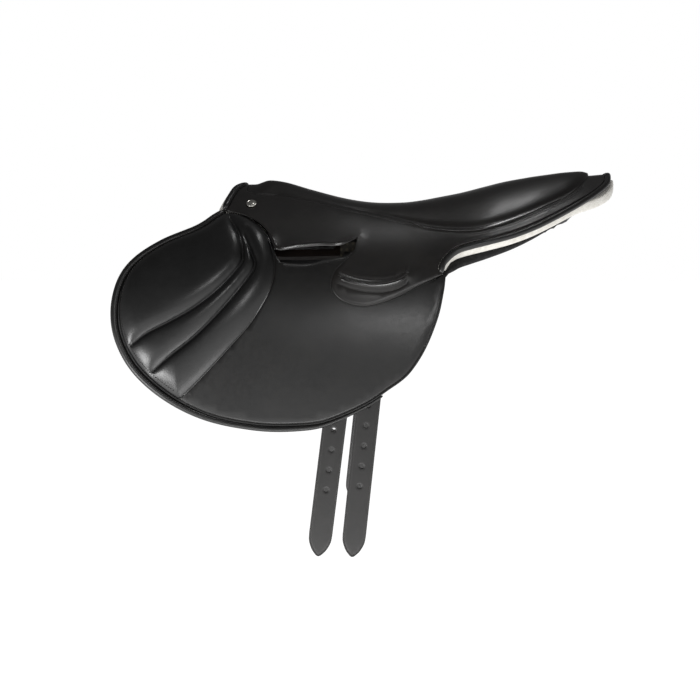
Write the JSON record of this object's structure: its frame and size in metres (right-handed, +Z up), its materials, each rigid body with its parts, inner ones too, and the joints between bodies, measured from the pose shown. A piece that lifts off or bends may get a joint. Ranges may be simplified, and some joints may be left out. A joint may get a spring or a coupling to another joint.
{
  "type": "racing saddle",
  "caption": "Black leather racing saddle with padded seat, lifting flaps with knee pads, stirrup bars, punched girth billets and a white felt underlay",
  "frame": {"origin": "On the centre plane, under the lowest part of the seat, at the height where the gullet meets the back of the horse", "axes": "+X runs from the pommel to the cantle, +Y points to the off (right) side of the horse, +Z is up"},
  "size_m": [0.6365, 0.2922, 0.4774],
  "materials": {
    "smooth_leather": "semi-gloss, black",
    "skirt_leather": "semi-gloss, brownish black",
    "pad_leather": "soft grained, black",
    "strap_leather": "satin, black",
    "panel_lining": "matte, black",
    "white_felt": "pressed wool felt, white",
    "seat_foam": "soft foam",
    "canvas_web": "woven canvas",
    "tree_laminate": "laminated wood",
    "tree_steel": "forged steel",
    "nickel": "polished nickel"
  },
  "bodies": {
    "saddle": {"seat_cover": "skirt_leather", "seat_foam": "seat_foam", "pommel_binding": "smooth_leather", "cantle_binding": "smooth_leather", "felt_underlay": "white_felt", "head_arch": "tree_steel", "cantle_plate": "tree_laminate", "seat_web_front": "canvas_web", "seat_web_middle": "canvas_web", "seat_web_rear": "canvas_web", "near_rail": "tree_laminate", "near_stirrup_bar": "tree_steel", "near_bar_rivet_front": "tree_steel", "near_bar_rivet_rear": "tree_steel", "near_girth_web": "canvas_web", "near_skirt": "skirt_leather", "near_head_stud": "nickel", "near_sweat_flap": "smooth_leather", "near_panel": "panel_lining", "off_rail": "tree_laminate", "off_stirrup_bar": "tree_steel", "off_bar_rivet_front": "tree_steel", "off_bar_rivet_rear": "tree_steel", "off_girth_web": "canvas_web", "off_skirt": "skirt_leather", "off_head_stud": "nickel", "off_sweat_flap": "smooth_leather", "off_panel": "panel_lining"},
    "near_flap": {"near_flap": "smooth_leather", "near_flap_binding": "smooth_leather", "near_knee_pad": "pad_leather", "near_keeper": "skirt_leather"},
    "off_flap": {"off_flap": "smooth_leather", "off_flap_binding": "smooth_leather", "off_knee_pad": "pad_leather", "off_keeper": "skirt_leather"},
    "near_front_billet": {"near_front_billet": "strap_leather"},
    "near_rear_billet": {"near_rear_billet": "strap_leather"},
    "off_front_billet": {"off_front_billet": "strap_leather"},
    "off_rear_billet": {"off_rear_billet": "strap_leather"}
  },
  "joints": [
    {"name": "near_flap_fold", "type": "hinge", "parent": "saddle", "child": "near_flap", "pos_m": [-0.23, -0.0563, 0.0555], "axis": [-0.9417, 0.2059, 0.2659], "range_deg": [0, 70]},
    {"name": "off_flap_fold", "type": "hinge", "parent": "saddle", "child": "off_flap", "pos_m": [-0.23, 0.0563, 0.0555], "axis": [0.9417, 0.2059, -0.2659], "range_deg": [0, 70]},
    {"name": "near_front_billet_swing", "type": "hinge", "parent": "saddle", "child": "near_front_billet", "pos_m": [-0.0618, -0.0937, -0.01], "axis": [0, 0.9439, -0.3304], "range_deg": [-0.8, 10]},
    {"name": "near_rear_billet_swing", "type": "hinge", "parent": "saddle", "child": "near_rear_billet", "pos_m": [-0.0264, -0.09326, -0.01], "axis": [0, 0.9348, -0.3552], "range_deg": [-8, 0.8]},
    {"name": "off_front_billet_swing", "type": "hinge", "parent": "saddle", "child": "off_front_billet", "pos_m": [-0.0618, 0.0937, -0.01], "axis": [0, 0.9439, 0.3304], "range_deg": [-0.8, 10]},
    {"name": "off_rear_billet_swing", "type": "hinge", "parent": "saddle", "child": "off_rear_billet", "pos_m": [-0.0264, 0.09326, -0.01], "axis": [0, 0.9348, 0.3552], "range_deg": [-8, 0.8]}
  ]
}
